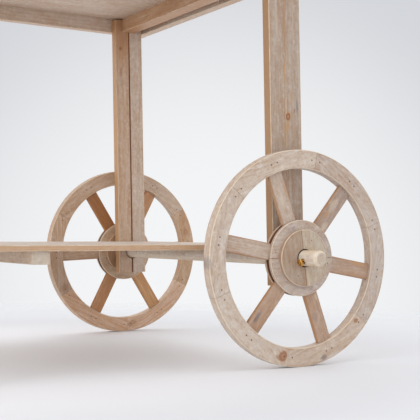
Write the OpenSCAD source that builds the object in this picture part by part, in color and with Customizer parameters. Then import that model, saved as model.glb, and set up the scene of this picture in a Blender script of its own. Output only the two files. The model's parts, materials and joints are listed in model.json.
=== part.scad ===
// Two-wheeled wooden hand cart: a low shelf and an upper deck on four uprights,
// two spoked wheels on one wooden axle, and a round pull bar at the front.
// +X is the front (the pull end), +Y the left side, +Z up, floor at Z = 0.

/* [Wheels] */
// Diameter of a wheel over its rim
wheel_d = 450; // [380:2:560]
// Distance between the middle planes of the two wheels
track = 830; // [700:5:1000]
// Radial width of the rim
rim_w = 39; // [32:1:50]
// Thickness of the rim along the axle
rim_t = 24; // [20:1:30]
// Width of a spoke, seen from the side
spoke_w = 35; // [26:1:42]
// Thickness of a spoke along the axle
spoke_t = 9; // [7:0.5:14]
// Distance of the glue line in the tread from the rim's outer face
glue_line = 9; // [6:0.5:18]
// Turn of the left wheel at rest
left_turn = -9.9; // [-30:0.1:30]
// Turn of the right wheel at rest
right_turn = -2.7; // [-30:0.1:30]

/* [Hubs and axle] */
// Diameter of the large hub discs
hub_d = 158; // [140:1:180]
// Diameter of the small hub caps
cap_d = 118; // [100:1:130]
// Thickness of each large hub disc
disc_t = 7; // [5:0.5:12]
// Thickness of each cap
cap_t = 10; // [7:0.5:14]
// Space between the inner cap of a wheel and the rear post
hub_space = 13.5; // [3:0.5:20]
// Diameter of the wooden axle
axle_d = 33; // [28:0.5:38]
// Length of axle that stands out past the outer cap
axle_stub = 56; // [45:1:70]
// Radial clearance of the hub on the axle
hub_play = 2; // [0.3:0.1:2.5]
// Radial clearance of the axle holes in the rear posts
post_play = 1.8; // [1:0.1:3]

/* [Frame] */
// Distance from the axle to the middle of the front legs
wheelbase = 735; // [600:5:1000]
// Width of an upright, front to back
post_w = 80; // [60:2:100]
// Thickness of the planks of the frame
plank_t = 24; // [18:1:30]
// Forward lean of the four uprights, in degrees
lean = 1.4; // [0:0.1:2]
// Distance from the axle's centre down to the foot of a rear post
post_drop = 58; // [45:1:70]
// Height of the side rails' lower edge above the floor
rail_z = 832; // [700:4:900]
// Height of the side rails
rail_h = 90; // [70:2:110]
// Distance from the front legs to the pull bar
shaft_l = 395; // [300:5:500]
// Diameter of the pull bar
bar_d = 32; // [26:1:36]

/* [Shelf and deck] */
// Number of boards in the shelf
shelf_boards = 5; // [3:1:6]
// Thickness of the shelf boards
shelf_t = 11; // [9:0.5:18]
// Thickness of the deck boards
deck_t = 12; // [9:0.5:18]
// Number of boards in the deck
deck_count = 5; // [3:1:8]
// Gap between neighbouring boards
board_gap = 1.5; // [0.5:0.5:4]
// Width of the shelf battens
batten_w = 34; // [26:1:50]
// Height of the shelf battens
batten_h = 25; // [18:1:30]
// Distance from the axle to the middle shelf batten
batten_x = 541; // [400:1:560]

/* [Details] */
// Chamfer along the edges of the planks
arris = 1.2; // [0.5:0.1:2]
// Chamfer along the edges of the rim
rim_arris = 1.8; // [0.5:0.1:2.5]
// Chamfer that makes the groove between the two boards of a rear post
groove = 2; // [1:0.1:3]
// Radius along the edges of the spokes
spoke_round = 3; // [1:0.5:4]
// Gap in the butt seams of the rim, the hub discs and the caps
seam_gap = 0.5; // [0.2:0.1:1]
// Clearance around the spoke tenons
joint_gap = 0.2; // [0.1:0.1:0.5]
// Radius of a brad nail
nail_r = 1.1; // [0.8:0.1:1.5]

/* [Hidden] */
$fn = 96;
wheel_names = ["left", "right"];

wood_pale = "#cbbba4";
wood_warm = "#b89c7c";
zinc_yellow = "#c9a24a";
steel_dark = "#55504a";

rim_ro = wheel_d / 2;
rim_ri = rim_ro - rim_w;
rim_rm = rim_ro - rim_w / 2;
tenon_t = min(rim_t / 3, spoke_t - 2);
tenon_r = rim_ro - rim_w * 0.3;
hub_r = hub_d / 2;
cap_r = cap_d / 2;
axle_r = axle_d / 2;
bore_r = axle_r + hub_play;
spoke_r0 = spoke_w / 2 / tan(30) + 2;
disc_z = spoke_t / 2;
cap_z = disc_z + disc_t;
hub_z = cap_z + cap_t;

post_in = track / 2 - hub_z - hub_space - plank_t;
post_out = post_in + plank_t;
rail_out = post_out + plank_t;
axle_half = track / 2 + hub_z + axle_stub;
// How far the flats at the axle's ends are cut in, and their slope in degrees
end_cut = 5;
end_slope = 35;

nose_r = 23;
total_l = rim_ro + wheelbase + shaft_l + nose_r;
axle_x = rim_ro - total_l / 2;
axle_z = rim_ro;
leg_x = axle_x + wheelbase;
bar_x = leg_x + shaft_l;

post_hole_r = axle_r + post_play;
bearer_h = 36;
bearer_w = 38;
deck_z = rail_z + bearer_h;
post_top = deck_z - 2.5;
lean_top = (rail_z + bearer_h / 2 - axle_z) * tan(lean);
shelf_z = axle_z + axle_r;
shelf_x0 = axle_x - post_w / 2;
shelf_x1 = leg_x + post_w / 2;
rear_board_x = axle_x + lean_top - post_w / 2 - plank_t / 2 - 4;
front_board_x = leg_x + lean_top + post_w / 2 + plank_t / 2 + 4;
rail_x0 = rear_board_x - plank_t / 2 - 12;
bar_z = rail_z + rail_h / 2;

nail_l = 11;
hub_nail_l = disc_t + spoke_t / 2 - 0.5;
cap_nail_l = cap_t + disc_t - 1;
board_nail_l = 22;
screw_head_r = 4.2;
screw_r = 2.2;
screw_l = 58;
retainer_r = 4;
retainer_hole_r = 6;
retainer_head_r = 8.4;
retainer_head_h = 3.6;
retainer_tilt = 22;
retainer_y = track / 2 + hub_z + 14;
retainer_reach = 24;

// Side-by-side boards across a width: the centre of board i of n
function board_y(i, n, width) = -width / 2 + width * (i - 0.5) / n;

// Rectangle centred on the origin, with all four corners chamfered by c
module slab_2d(w, h, c) {
    polygon([
        [-w / 2 + c, -h / 2], [w / 2 - c, -h / 2], [w / 2, -h / 2 + c], [w / 2, h / 2 - c],
        [w / 2 - c, h / 2], [-w / 2 + c, h / 2], [-w / 2, h / 2 - c], [-w / 2, -h / 2 + c]
    ]);
}

// Rectangle centred on the origin, with its corners rounded by r in flats
module round_slab_2d(w, h, r) {
    corners = [[1, 1, 0], [-1, 1, 90], [-1, -1, 180], [1, -1, 270]];
    polygon([
        for (c = corners) for (a = [0:22.5:90])
            [c[0] * (w / 2 - r) + r * cos(c[2] + a), c[1] * (h / 2 - r) + r * sin(c[2] + a)]
    ]);
}

// Chamfered bar along X from x0 to x1, centred on y and z
module bar_along_x(x0, x1, y, z, w, h, c = arris) {
    translate([x0, y, z])
        rotate([90, 0, 90])
            linear_extrude(x1 - x0)
                slab_2d(w, h, c);
}

// Chamfered bar along Y from -half to +half, centred on x and z
module bar_along_y(half, x, z, w, h, c = arris) {
    translate([x, half, z])
        rotate([90, 0, 0])
            linear_extrude(2 * half)
                slab_2d(w, h, c);
}

// Places a wheel's own frame (axis along local Z, outer face up) on the left or right
module wheel_place(side) {
    translate([axle_x, side * track / 2, axle_z])
        rotate([side * -90, 0, 0])
            rotate([0, 0, side > 0 ? left_turn : right_turn])
                children();
}

// One brad driven in from the outer (face = 1) or inner (face = -1) side of a wheel
module brad(r, angle, z, length, face) {
    rotate([0, 0, angle])
        translate([r, 0, face > 0 ? z - length : -z])
            cylinder(r = nail_r, h = length, $fn = 24);
}

// All the brads of one wheel
module wheel_brads() {
    for (face = [-1, 1]) {
        for (i = [0:5]) {
            for (d = [-2.2, 2.2])
                brad(rim_rm, 60 * i + d, rim_t / 2, nail_l, face);
            for (d = [-2.9, 2.9])
                brad(rim_rm, 60 * i + 30 + d, rim_t / 2, nail_l, face);
            brad(hub_r * 0.86, 60 * i, cap_z, hub_nail_l, face);
        }
        for (a = [20, 75, 200, 255])
            brad(cap_r * 0.68, a, hub_z, cap_nail_l, face);
    }
}

// Slot in the rim, or tenon on a spoke, grown by g
module tenon(g) {
    translate([rim_ri - 3, -spoke_w / 2 + 3 - g, -tenon_t / 2 - g])
        cube([tenon_r - rim_ri + 3 + g, spoke_w - 6 + 2 * g, tenon_t + 2 * g]);
}

// Section of the rim: chamfered edges, and a shallow groove where its two layers meet in the tread
module rim_section() {
    w = rim_w / 2;
    h = rim_t / 2;
    c = rim_arris;
    g = h - glue_line;
    polygon([
        [-w + c, -h], [w - c, -h], [w, -h + c], [w, g - 0.5], [w - 0.8, g], [w, g + 0.5],
        [w, h - c], [w - c, h], [-w + c, h], [-w, h - c], [-w, -h + c]
    ]);
}

// Rim segment whose middle is at spoke i
module felloe(i) {
    color(wood_pale)
        difference() {
            rotate([0, 0, 60 * (i - 1)])
                difference() {
                    intersection() {
                        rotate_extrude($fn = 180)
                            translate([rim_rm, 0])
                                rim_section();
                        translate([seam_gap, 0, -rim_t])
                            linear_extrude(2 * rim_t)
                                polygon([
                                    [0, 0], wheel_d * [cos(30), -sin(30)],
                                    wheel_d * [1.2, 0], wheel_d * [cos(30), sin(30)]
                                ]);
                    }
                    tenon(joint_gap);
                }
            wheel_brads();
        }
}

// Spoke i: a flat bar with a tenon at the rim
module spoke(i) {
    color(wood_pale)
        difference() {
            rotate([0, 0, 60 * (i - 1)]) {
                intersection() {
                    translate([spoke_r0, 0, 0])
                        rotate([90, 0, 90])
                            linear_extrude(rim_ro)
                                round_slab_2d(spoke_w, spoke_t, spoke_round);
                    cylinder(r = rim_ri - joint_gap, h = 2 * rim_t, center = true, $fn = 180);
                }
                tenon(0);
            }
            wheel_brads();
        }
}

// Disc of radius r and thickness t with a chamfered outer edge, on the axle's bore,
// sawn in two along a line at the given angle and distance from the axle
module split_disc(r, z, t, angle, offset) {
    difference() {
        translate([0, 0, z])
            rotate_extrude($fn = 120)
                polygon([[bore_r, 0], [r, 0], [r, t - arris], [r - arris, t], [bore_r, t]]);
        rotate([0, 0, angle])
            translate([-2 * r, offset - seam_gap / 2, z - 1])
                cube([4 * r, seam_gap, t + 2]);
    }
}

// Large hub disc on the outer (face = 1) or inner side, made of two boards
module hub_disc(face) {
    color(wood_pale)
        difference() {
            mirror([0, 0, face > 0 ? 0 : 1])
                split_disc(hub_r, disc_z, disc_t, 10, 0);
            wheel_brads();
        }
}

// Small cap, made of two boards with their seam across the large disc's seam
module hub_cap(face) {
    color(wood_pale)
        difference() {
            mirror([0, 0, face > 0 ? 0 : 1])
                split_disc(cap_r, cap_z, cap_t, 107, -2);
            wheel_brads();
        }
}

module wheel_nails() {
    color(steel_dark)
        wheel_brads();
}

// Wood screw with a countersunk head at the origin, driven along -Z
module screw(length) {
    translate([0, 0, -3])
        cylinder(r1 = screw_r, r2 = screw_head_r, h = 3, $fn = 32);
    translate([0, 0, -length])
        cylinder(r = screw_r, h = length - 3 + 0.01, $fn = 32);
}

// Every screw of the frame
module screw_set() {
    for (side = [-1, 1]) {
        // rail, upright and bearer
        for (x = [axle_x, leg_x])
            for (d = [-12, 12])
                translate([x + lean_top + d, side * rail_out, rail_z + bearer_h / 2])
                    rotate([-90 * side, 0, 0])
                        screw(screw_l + 8);
        // rail into the two end boards
        for (x = [rear_board_x, front_board_x])
            for (z = [rail_z + 22, rail_z + rail_h - 22])
                translate([x, side * rail_out, z])
                    rotate([-90 * side, 0, 0])
                        screw(screw_l);
        // leg into the front batten
        translate([leg_x, side * post_out, shelf_z - batten_h / 2])
            rotate([-90 * side, 0, 0])
                screw(screw_l);
        // rail nose into the pull bar
        translate([bar_x + nose_r, side * (post_out + plank_t / 2), bar_z])
            rotate([0, 90, 0])
                screw(nose_r + 6);
    }
}

module frame_screws() {
    color(zinc_yellow)
        screw_set();
}

// One nail through a board whose top is at z
module board_nail(x, y, z) {
    translate([x, y, z - board_nail_l])
        cylinder(r = nail_r, h = board_nail_l, $fn = 24);
}

// Nails of the shelf into its battens and of the deck into its bearers, each pair
// staggered across the batten so that both nails pass beside the leg's screw
module nail_set() {
    shelf_step = 2 * post_in / shelf_boards;
    deck_step = 2 * post_out / deck_count;
    for (i = [1:shelf_boards])
        for (x = [axle_x + batten_x, leg_x])
            for (d = [-0.3, 0.3])
                board_nail(x + 20 * d, board_y(i, shelf_boards, 2 * post_in) + d * shelf_step, shelf_z + shelf_t);
    for (i = [1:deck_count])
        for (x = [axle_x + lean_top, leg_x + lean_top])
            for (d = [-0.2, 0.2])
                board_nail(x, board_y(i, deck_count, 2 * post_out) + d * deck_step, deck_z + deck_t);
}

module board_nails() {
    color(steel_dark)
        nail_set();
}

// Round axle, its ends cut back with eight flats each, with a cross hole for each
// retaining screw: tight where the screw bites, wide on the head's side
module axle() {
    color(wood_warm)
        difference() {
            translate([axle_x, 0, axle_z])
                rotate([90, 0, 0])
                    difference() {
                        cylinder(r = axle_r, h = 2 * axle_half, center = true);
                        for (m = [0, 1], a = [0:45:315])
                            mirror([0, 0, m])
                                rotate([0, 0, a])
                                    translate([axle_r - end_cut, -axle_r, axle_half])
                                        rotate([0, -end_slope, 0])
                                            translate([0, 0, -3 * axle_r])
                                                cube([axle_r, 2 * axle_r, 6 * axle_r]);
                    }
            retainer_place() {
                translate([0, 0, -axle_r - 6])
                    cylinder(r = retainer_r, h = 2 * axle_r, $fn = 48);
                cylinder(r = retainer_hole_r, h = 2 * axle_r, $fn = 48);
            }
        }
}

// Axis of each retaining screw, along local Z towards its head
module retainer_place() {
    for (side = [-1, 1])
        translate([axle_x, side * retainer_y, axle_z])
            rotate([0, 90 + retainer_tilt, 0])
                children();
}

// The two retaining screws, through the axle just outside the hubs
module axle_screws() {
    color(zinc_yellow)
        retainer_place() {
            translate([0, 0, -axle_r - 6])
                cylinder(r = retainer_r, h = axle_r + 6 + retainer_reach, $fn = 48);
            translate([0, 0, retainer_reach])
                cylinder(r = retainer_head_r, h = retainer_head_h, $fn = 48);
        }
}

// Leans an upright about the level of the axle, at x
module leaned(x) {
    translate([x, 0, axle_z])
        rotate([0, lean, 0])
            translate([0, 0, -axle_z])
                children();
}

// Half of a rear post: half = 1 is the front board, -1 the rear one
module post_board(side, half) {
    w = post_w / 2;
    color(wood_pale)
        difference() {
            leaned(axle_x)
                translate([0, 0, axle_z - post_drop])
                    linear_extrude(post_top - axle_z + post_drop)
                        scale([half, side])
                            polygon([
                                [groove, post_in], [w - arris, post_in], [w, post_in + arris],
                                [w, post_out - arris], [w - arris, post_out], [arris / 2, post_out],
                                [0, post_out - arris / 2], [0, post_in + groove]
                            ]);
            translate([axle_x, side * (post_in + plank_t / 2), axle_z - post_play])
                rotate([90, 0, 0])
                    cylinder(r = post_hole_r, h = 2 * plank_t, center = true);
            screw_set();
        }
}

// Front leg: a plank from the floor to the deck
module leg(side) {
    color(wood_pale)
        difference() {
            intersection() {
                leaned(leg_x)
                    translate([0, side * (post_in + plank_t / 2), -20])
                        linear_extrude(post_top + 20)
                            slab_2d(post_w, plank_t, arris);
                translate([leg_x - post_w, -track, 0])
                    cube([2 * post_w, 2 * track, 2 * rail_z]);
            }
            screw_set();
        }
}

module shelf_board(i) {
    step = 2 * post_in / shelf_boards;
    color(wood_pale)
        difference() {
            bar_along_x(shelf_x0, shelf_x1, board_y(i, shelf_boards, 2 * post_in), shelf_z + shelf_t / 2,
                step - (shelf_boards > 1 ? board_gap * (shelf_boards - 1) / shelf_boards : 0), shelf_t, arris / 2);
            nail_set();
        }
}

module shelf_batten(x, half) {
    color(wood_warm)
        difference() {
            bar_along_y(half, x, shelf_z - batten_h / 2, batten_w, batten_h);
            nail_set();
            screw_set();
        }
}

// Side rail: full height beside the deck, then a slimmer shaft up to the pull bar
module rail(side) {
    taper_x = front_board_x + 40;
    shaft_x = taper_x + 110;
    color(wood_pale)
        difference() {
            translate([0, side > 0 ? rail_out : -post_out, 0])
                rotate([90, 0, 0])
                    linear_extrude(plank_t)
                        union() {
                            polygon([
                                [rail_x0, rail_z + 12], [rail_x0 + 12, rail_z], [taper_x, rail_z],
                                [shaft_x, bar_z - nose_r], [bar_x, bar_z - nose_r], [bar_x, bar_z + nose_r],
                                [shaft_x, bar_z + nose_r], [taper_x, rail_z + rail_h],
                                [rail_x0 + 12, rail_z + rail_h], [rail_x0, rail_z + rail_h - 12]
                            ]);
                            translate([bar_x, bar_z])
                                circle(r = nose_r);
                        }
            translate([bar_x, side * (post_out + plank_t / 2), bar_z])
                rotate([90, 0, 0])
                    cylinder(r = bar_d / 2, h = 2 * plank_t, center = true);
            screw_set();
        }
}

module end_board(x) {
    color(wood_pale)
        difference() {
            bar_along_y(post_out, x, rail_z + rail_h / 2, plank_t, rail_h);
            screw_set();
        }
}

module bearer(x) {
    color(wood_warm)
        difference() {
            bar_along_y(post_in, x + lean_top, rail_z + bearer_h / 2, bearer_w, bearer_h, arris / 2);
            nail_set();
            screw_set();
        }
}

module deck_boards() {
    step = 2 * post_out / deck_count;
    color(wood_pale)
        difference() {
            for (i = [1:deck_count])
                bar_along_x(rear_board_x + plank_t / 2, front_board_x - plank_t / 2,
                    board_y(i, deck_count, 2 * post_out), deck_z + deck_t / 2,
                    step - board_gap * (deck_count - 1) / deck_count, deck_t, arris / 2);
            nail_set();
        }
}

// Round pull bar through the noses of both rails
module pull_bar() {
    tip = 3;
    half = rail_out + 14;
    color(wood_warm)
        difference() {
            translate([bar_x, 0, bar_z])
                rotate([90, 0, 0]) {
                    cylinder(r = bar_d / 2, h = 2 * (half - tip), center = true);
                    for (m = [0, 1])
                        mirror([0, 0, m])
                            translate([0, 0, half - tip])
                                cylinder(r1 = bar_d / 2, r2 = bar_d / 2 - tip, h = tip);
                }
            screw_set();
        }
}

axle();
axle_screws();
post_board(1, 1);  // left_post_front
post_board(1, -1);  // left_post_rear
post_board(-1, 1);  // right_post_front
post_board(-1, -1);  // right_post_rear
leg(1);  // left_leg
leg(-1);  // right_leg
for (i = [1:shelf_boards])
    shelf_board(i);
shelf_batten(axle_x + batten_x, post_in - 8);  // shelf_batten_mid
shelf_batten(leg_x, post_in);  // shelf_batten_front
rail(1);  // left_rail
rail(-1);  // right_rail
end_board(rear_board_x);  // rear_board
end_board(front_board_x);  // front_board
bearer(axle_x);  // rear_bearer
bearer(leg_x);  // front_bearer
deck_boards();
pull_bar();
frame_screws();
board_nails();
for (s = [0, 1])
    wheel_place(s == 0 ? 1 : -1) {
        for (i = [1:6]) {
            felloe(i);
            spoke(i);
        }
        hub_disc(1);
        hub_disc(-1);
        hub_cap(1);
        hub_cap(-1);
        wheel_nails();
    }
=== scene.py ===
"""Two-wheeled wooden hand cart: whitewashed boards, bare axle, brads, screws and a pale studio."""

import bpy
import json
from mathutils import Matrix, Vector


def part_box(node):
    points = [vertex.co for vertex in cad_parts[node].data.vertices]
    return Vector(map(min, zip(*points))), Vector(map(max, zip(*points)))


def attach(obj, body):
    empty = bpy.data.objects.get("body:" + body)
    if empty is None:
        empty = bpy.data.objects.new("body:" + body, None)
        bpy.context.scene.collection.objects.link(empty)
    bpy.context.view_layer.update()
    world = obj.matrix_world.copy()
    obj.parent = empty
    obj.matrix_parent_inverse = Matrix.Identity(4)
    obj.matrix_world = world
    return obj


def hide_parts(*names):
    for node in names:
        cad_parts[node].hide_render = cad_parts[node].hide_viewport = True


bl_info = {
    "name": "Wooden Hand Cart",
    "version": (1, 0, 0),
    "blender": (4, 5, 0),
    "location": "3D View > Sidebar > Cart",
    "description": "Finishes a two-wheeled wooden hand cart and sets a plain studio around it",
    "category": "Object",
}

import json
import math
import bmesh
import bpy
from dataclasses import dataclass
from mathutils import Matrix, Vector

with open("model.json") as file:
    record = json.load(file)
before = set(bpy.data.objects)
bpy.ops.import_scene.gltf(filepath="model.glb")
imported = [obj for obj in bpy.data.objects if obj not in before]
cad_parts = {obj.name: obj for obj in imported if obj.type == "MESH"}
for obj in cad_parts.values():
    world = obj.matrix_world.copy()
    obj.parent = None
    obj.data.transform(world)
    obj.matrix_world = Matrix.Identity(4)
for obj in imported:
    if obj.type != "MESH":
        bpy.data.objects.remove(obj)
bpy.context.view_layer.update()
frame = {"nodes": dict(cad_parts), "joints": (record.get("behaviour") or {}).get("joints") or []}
NODES = frame["nodes"]
WHEELS = ("left", "right")
SHELF_BOARDS = sorted(name for name in NODES if name.startswith("shelf_board_"))
X_WAY, Y_WAY, Z_WAY = (1, 0, 0), (0, 1, 0), (0, 0, 1)


def linear(red, green, blue):
    """Scene-linear colour of an sRGB colour given as 0 to 255."""
    def channel(value):
        value = value / 255
        return value / 12.92 if value <= 0.04045 else ((value + 0.055) / 1.055) ** 2.4
    return (channel(red), channel(green), channel(blue))


def colour(name, description, *srgb):
    """A colour property with a default."""
    return bpy.props.FloatVectorProperty(
        name=name, description=description, subtype="COLOR", size=3, min=0, max=1,
        default=linear(*srgb),
    )


def power(name, description, watts):
    """A property for the power of a light."""
    return bpy.props.FloatProperty(
        name=name, description=description, default=watts, min=0.0, unit="POWER",
    )


def angle(name, description, degrees):
    """A property for an angle, its default given in degrees."""
    return bpy.props.FloatProperty(
        name=name, description=description, default=math.radians(degrees), subtype="ANGLE",
    )


# ---- shader maths


class Value:
    """A number between shader nodes; arithmetic on it adds Math nodes."""

    def __init__(self, shader, socket):
        self.shader = shader
        self.socket = socket

    def _math(self, operation, first, second=None):
        inputs = {0: first}
        if second is not None:
            inputs[1] = second
        made = self.shader.node("ShaderNodeMath", {"operation": operation}, inputs)
        return Value(self.shader, made.outputs[0])

    def __add__(self, other):
        return self._math("ADD", self, other)

    __radd__ = __add__

    def __sub__(self, other):
        return self._math("SUBTRACT", self, other)

    def __rsub__(self, other):
        return self._math("SUBTRACT", other, self)

    def __mul__(self, other):
        return self._math("MULTIPLY", self, other)

    def __truediv__(self, other):
        return self._math("DIVIDE", self, other)

    def __abs__(self):
        return self._math("ABSOLUTE", self)

    def root(self):
        return self._math("SQRT", self)

    def fraction(self):
        return self._math("FRACT", self)

    def least(self, other):
        return self._math("MINIMUM", self, other)

    def most(self, other):
        return self._math("MAXIMUM", self, other)

    def angle_of(self, other):
        return self._math("ARCTAN2", self, other)

    def wrap(self, low, high):
        made = self.shader.node(
            "ShaderNodeMath", {"operation": "WRAP"}, {0: self, 1: high, 2: low}
        )
        return Value(self.shader, made.outputs[0])

    def ease(self, start, end):
        """0 at start, 1 at end and a smooth step between; start may be the larger one."""
        made = self.shader.node(
            "ShaderNodeMapRange",
            {"interpolation_type": "SMOOTHSTEP"},
            {"Value": self, "From Min": start, "From Max": end},
        )
        return Value(self.shader, made.outputs[0])


# the Mix node's colour inputs and its colour output
MIX_BASE, MIX_OVER, MIX_RESULT = 6, 7, 2


class Shader:
    """The node tree of one material, or of the world where one is given."""

    def __init__(self, name, world=None):
        self.material = world or bpy.data.materials.new(name)
        self.material.use_nodes = True
        self.tree = self.material.node_tree
        self.tree.nodes.clear()

    def node(self, kind, settings=None, inputs=None):
        """Adds a node: its settings first, then values or links for its sockets."""
        made = self.tree.nodes.new(kind)
        for key, value in (settings or {}).items():
            setattr(made, key, value)
        for key, value in (inputs or {}).items():
            source = value.socket if isinstance(value, Value) else value
            if isinstance(source, bpy.types.NodeSocket):
                self.tree.links.new(source, made.inputs[key])
            else:
                made.inputs[key].default_value = source
        return made

    def parts(self, vector):
        """The three numbers of a vector, as values."""
        split = self.node("ShaderNodeSeparateXYZ", None, {0: vector})
        return [Value(self, out) for out in split.outputs]

    def stretched(self, vector, scale, shift=(0, 0, 0)):
        """The vector times a scale, then moved."""
        made = self.node(
            "ShaderNodeVectorMath", {"operation": "MULTIPLY_ADD"}, {0: vector, 1: scale, 2: shift}
        )
        return made.outputs[0]

    def noise(self, vector, scale, shift=(0, 0, 0), detail=2.0, roughness=0.5):
        """Noise from 0 to 1, with its own scale along each axis, in cycles per metre."""
        made = self.node(
            "ShaderNodeTexNoise",
            None,
            {
                "Vector": self.stretched(vector, scale, shift),
                "Scale": 1.0,
                "Detail": detail,
                "Roughness": roughness,
            },
        )
        return Value(self, made.outputs["Fac"])

    def mix(self, factor, base, over, blend="MIX"):
        """One colour over another."""
        def solid(value):
            return value if isinstance(value, bpy.types.NodeSocket) else (*value, 1.0)
        made = self.node(
            "ShaderNodeMix",
            {"data_type": "RGBA", "blend_type": blend, "clamp_factor": True},
            {0: factor, MIX_BASE: solid(base), MIX_OVER: solid(over)},
        )
        return made.outputs[MIX_RESULT]

    def finish(self, base, roughness, height, depth, metallic=0.0):
        """Principled surface with a bump of the given depth in metres."""
        bump = self.node("ShaderNodeBump", None, {"Height": height, "Distance": depth})
        surface = self.node("ShaderNodeBsdfPrincipled", None, {
            "Base Color": base, "Roughness": roughness, "Metallic": metallic,
            "Normal": bump.outputs[0],
        })
        self.node("ShaderNodeOutputMaterial", None, {0: surface.outputs[0]})
        return self.material


# ---- wood


@dataclass
class Board:
    """How one board was sawn and how it has worn.

    place: where the board's own axes are, X along the grain, Y across its face, Z through it
    half: half of its width and of its thickness, for the wear along its edges
    cover: how much of the whitewash is left, 0 to 1
    warm, grey: strength of warm and grey patches
    tint: thin stain over the whole board
    figure: how strongly the year rings show
    sides: how brown the narrow sides are
    edge_tone: cream or brown, the colour painted on the rounded edges, cream as worn wash with a painted
    highlight and brown as painted shade
    pith: where the log's middle was, in the board's Y and Z
    ring, slope: distance between year rings, and how they run out of the face
    seed: moves the noise, so that no two boards look alike
    joint: seam line across Y, and the tint of the wood beyond it
    groove: line across Y of the unwashed groove beside the next board, and the side it is on
    hidden: the side along Z, 1 or -1, that faces the dark gap between the hub's discs and is painted
    with shade
    shade_below: the part of the board below this X sits between other boards and is painted with shade
    bore: radius of a greased hole through a disc
    greased: from where to where along X, either way, an axle is greased
    flaws: knots, stains and patches of painted shade in the board
    """

    place: Matrix
    half: tuple = (0.04, 0.012)
    cover: float = 0.75
    warm: float = 0.2
    grey: float = 0.2
    tint: str = "bare"
    figure: float = 0.35
    sides: float = 0.3
    edge_tone: str = "cream"
    pith: tuple = (0.02, -0.06)
    ring: float = 0.0045
    slope: float = 0.35
    seed: float = 0.0
    joint: tuple = None
    groove: tuple = None
    hidden: int = 0
    shade_below: float = None
    bore: float = None
    greased: tuple = None
    flaws: tuple = ()


@dataclass
class Flaw:
    """A knot, a stain or a patch of painted shade at x, y on the board's face, with its size and its
    length to width.
    """

    x: float
    y: float
    size: float
    long: float = 1.4
    kind: str = "knot"
    strength: float = 1.0


def board_frame(centre, along, across):
    """A board's own frame, from its middle, its grain direction and its face's width direction."""
    x = Vector(along).normalized()
    z = x.cross(Vector(across)).normalized()
    y = z.cross(x)
    turned = Matrix((x, y, z)).transposed().to_4x4()
    return Matrix.Translation(centre) @ turned


def round_edge(shader, centre, inner, outer, half):
    """Distance to the nearest long edge of a ring or disc round the wheel's axis, in metres."""
    spot = shader.node("ShaderNodeTexCoord").outputs["Object"]
    x, y, z = shader.parts(shader.stretched(spot, (1, 1, 1), tuple(-c for c in centre)))
    radius = (x * x + z * z).root()
    radial = outer - radius
    if inner > 0:
        radial = radial.least(radius - inner)
    return abs(radial).most(half - abs(y)), radius, z.angle_of(x)


TINTS = {
    "bare": (1.0, 1.0, 1.0),
    "pale": (1.18, 1.24, 1.28),
    "chalk": (1.25, 1.42, 1.50),
    "ash": (0.92, 0.92, 0.94),
    "mauve": (0.86, 0.82, 0.82),
    "pewter": (0.79, 0.79, 0.80),
    "slate": (0.74, 0.71, 0.73),
    "dun": (0.74, 0.70, 0.66),
    "honey": (0.97, 0.88, 0.76),
    "tan": (0.90, 0.80, 0.70),
    "russet": (0.98, 0.78, 0.60),
    "amber": (1.08, 0.94, 0.72),
    "rose": (1.22, 1.15, 1.12),
    "umber": (0.71, 0.51, 0.31),
}


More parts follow.
